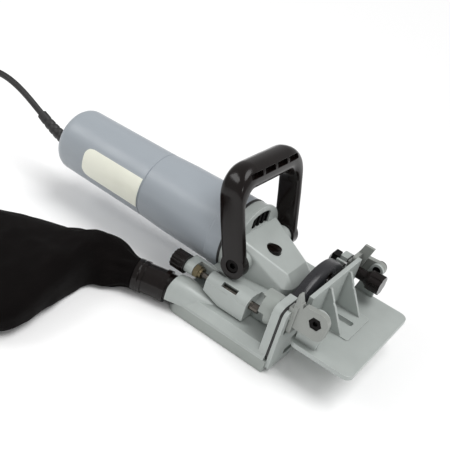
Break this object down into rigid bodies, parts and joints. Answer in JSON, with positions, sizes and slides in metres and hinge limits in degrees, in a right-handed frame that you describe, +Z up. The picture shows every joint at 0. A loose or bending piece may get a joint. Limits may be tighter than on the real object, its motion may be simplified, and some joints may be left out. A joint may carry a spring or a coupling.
{
  "type": "biscuit joiner",
  "caption": "Corded biscuit joiner: a motor unit with a flat-lying saw blade plunges on a base with a tilting, height-adjustable fence, depth turret, D handle and dust bag.",
  "frame": {"origin": "on the sole, on the centreline, at the front edge of the base", "axes": "+X forwards to the work, +Y to the user's left, +Z up"},
  "size_m": [0.7902, 0.3204, 0.1492],
  "materials": {
    "cast_alloy": "satin",
    "cover_alloy": "satin",
    "motor_plastic": "satin",
    "black_plastic": "satin",
    "hood_plastic": "satin",
    "rubber": "matte",
    "steel": "brushed",
    "dark_steel": "blackened",
    "copper": "bright",
    "brass": "dull",
    "carbon": "matte",
    "cloth": "woven"
  },
  "bodies": {
    "base": {"base_cover": "cover_alloy", "base_housing": "cast_alloy", "cover_screws": "steel", "front_pad": "rubber", "front_plate": "cast_alloy", "nose_guard": "hood_plastic", "return_springs": "steel", "dust_adapter": "black_plastic", "bag_ring": "black_plastic", "dust_bag": "cloth", "turret_screw": "steel"},
    "turret": {"depth_turret": "cast_alloy"},
    "motor_unit": {"carriage": "cast_alloy", "gear_head": "cast_alloy", "flange_gasket": "rubber", "motor_housing": "motor_plastic", "rear_cap": "motor_plastic", "cap_screws": "steel", "gear_head_screws": "steel", "air_grille": "black_plastic", "stator": "dark_steel", "brush_holders": "brass", "carbon_brushes": "carbon", "switch_unit": "black_plastic", "armature_bearings": "steel", "spindle_bearing": "steel", "handle_bolts": "dark_steel", "strain_relief": "rubber", "lock_spring": "steel", "power_cord": "rubber", "cord_coil": "rubber", "coil_tie": "rubber", "plug": "rubber", "plug_pins": "brass"},
    "handle_body": {"handle": "black_plastic"},
    "switch_body": {"switch_slider": "black_plastic"},
    "lock_body": {"lock_button": "black_plastic"},
    "armature": {"armature_shaft": "steel", "armature_core": "dark_steel", "commutator": "copper", "cooling_fan": "black_plastic", "bevel_pinion": "steel"},
    "cutter": {"spindle": "steel", "bevel_gear": "dark_steel", "lock_disc": "dark_steel", "saw_blade": "steel", "blade_nut": "dark_steel"},
    "stop_rod": {"depth_rod": "dark_steel"},
    "stop_knob": {"depth_knob": "black_plastic", "depth_collar": "brass"},
    "fence_slide": {"height_slide": "cast_alloy", "clamp_nut": "steel", "tilt_bolts": "dark_steel"},
    "fence_lock": {"height_knob": "black_plastic", "height_stud": "steel"},
    "fence": {"tilt_fence": "cast_alloy"}
  },
  "joints": [
    {"name": "plunge", "type": "slide", "parent": "base", "child": "motor_unit", "axis": [1, 0, 0], "range_m": [0, 0.0155], "stiffness_N_per_m": 250, "springref_m": -0.04, "deforming": ["return_springs"]},
    {"name": "turret_turn", "type": "hinge", "parent": "base", "child": "turret", "pos_m": [-0.02, -0.0505, 0.0485], "axis": [1, 0, 0], "range_deg": [-300, 0]},
    {"name": "handle_swing", "type": "hinge", "parent": "motor_unit", "child": "handle_body", "pos_m": [-0.067, 0, 0.061], "axis": [0, 1, 0], "range_deg": [-25, 40]},
    {"name": "switch_slide", "type": "slide", "parent": "motor_unit", "child": "switch_body", "axis": [1, 0, 0], "range_m": [0, 0.006]},
    {"name": "lock_press", "type": "slide", "parent": "motor_unit", "child": "lock_body", "axis": [0, 0, -1], "range_m": [0, 0.0035], "stiffness_N_per_m": 400, "springref_m": -0.004, "deforming": ["lock_spring"]},
    {"name": "cutter_spin", "type": "hinge", "parent": "motor_unit", "child": "cutter", "pos_m": [-0.049, 0, 0.03], "axis": [0, 0, 1], "continuous": true},
    {"name": "armature_spin", "type": "hinge", "parent": "motor_unit", "child": "armature", "pos_m": [-0.15, 0, 0.062], "axis": [1, 0, 0], "continuous": true},
    {"name": "stop_turn", "type": "hinge", "parent": "motor_unit", "child": "stop_knob", "pos_m": [-0.11, -0.0505, 0.0385], "axis": [1, 0, 0], "range_deg": [-720, 720]},
    {"name": "stop_slide", "type": "slide", "parent": "motor_unit", "child": "stop_rod", "axis": [-1, 0, 0], "range_m": [-0.003, 0.003]},
    {"name": "fence_height", "type": "slide", "parent": "base", "child": "fence_slide", "axis": [0, 0, 1], "range_m": [-0.016, 0.012]},
    {"name": "lock_turn", "type": "hinge", "parent": "fence_slide", "child": "fence_lock", "pos_m": [0.02, 0.049, 0.061], "axis": [1, 0, 0], "range_deg": [-90, 90]},
    {"name": "fence_tilt", "type": "hinge", "parent": "fence_slide", "child": "fence", "pos_m": [0.025, 0, 0.066], "axis": [0, -1, 0], "range_deg": [0, 90]}
  ],
  "couplings": [
    {"joint": "armature_spin", "follows": "cutter_spin", "ratio": -3.1},
    {"joint": "stop_slide", "follows": "stop_turn", "m_per_rad": 0.00023873}
  ]
}
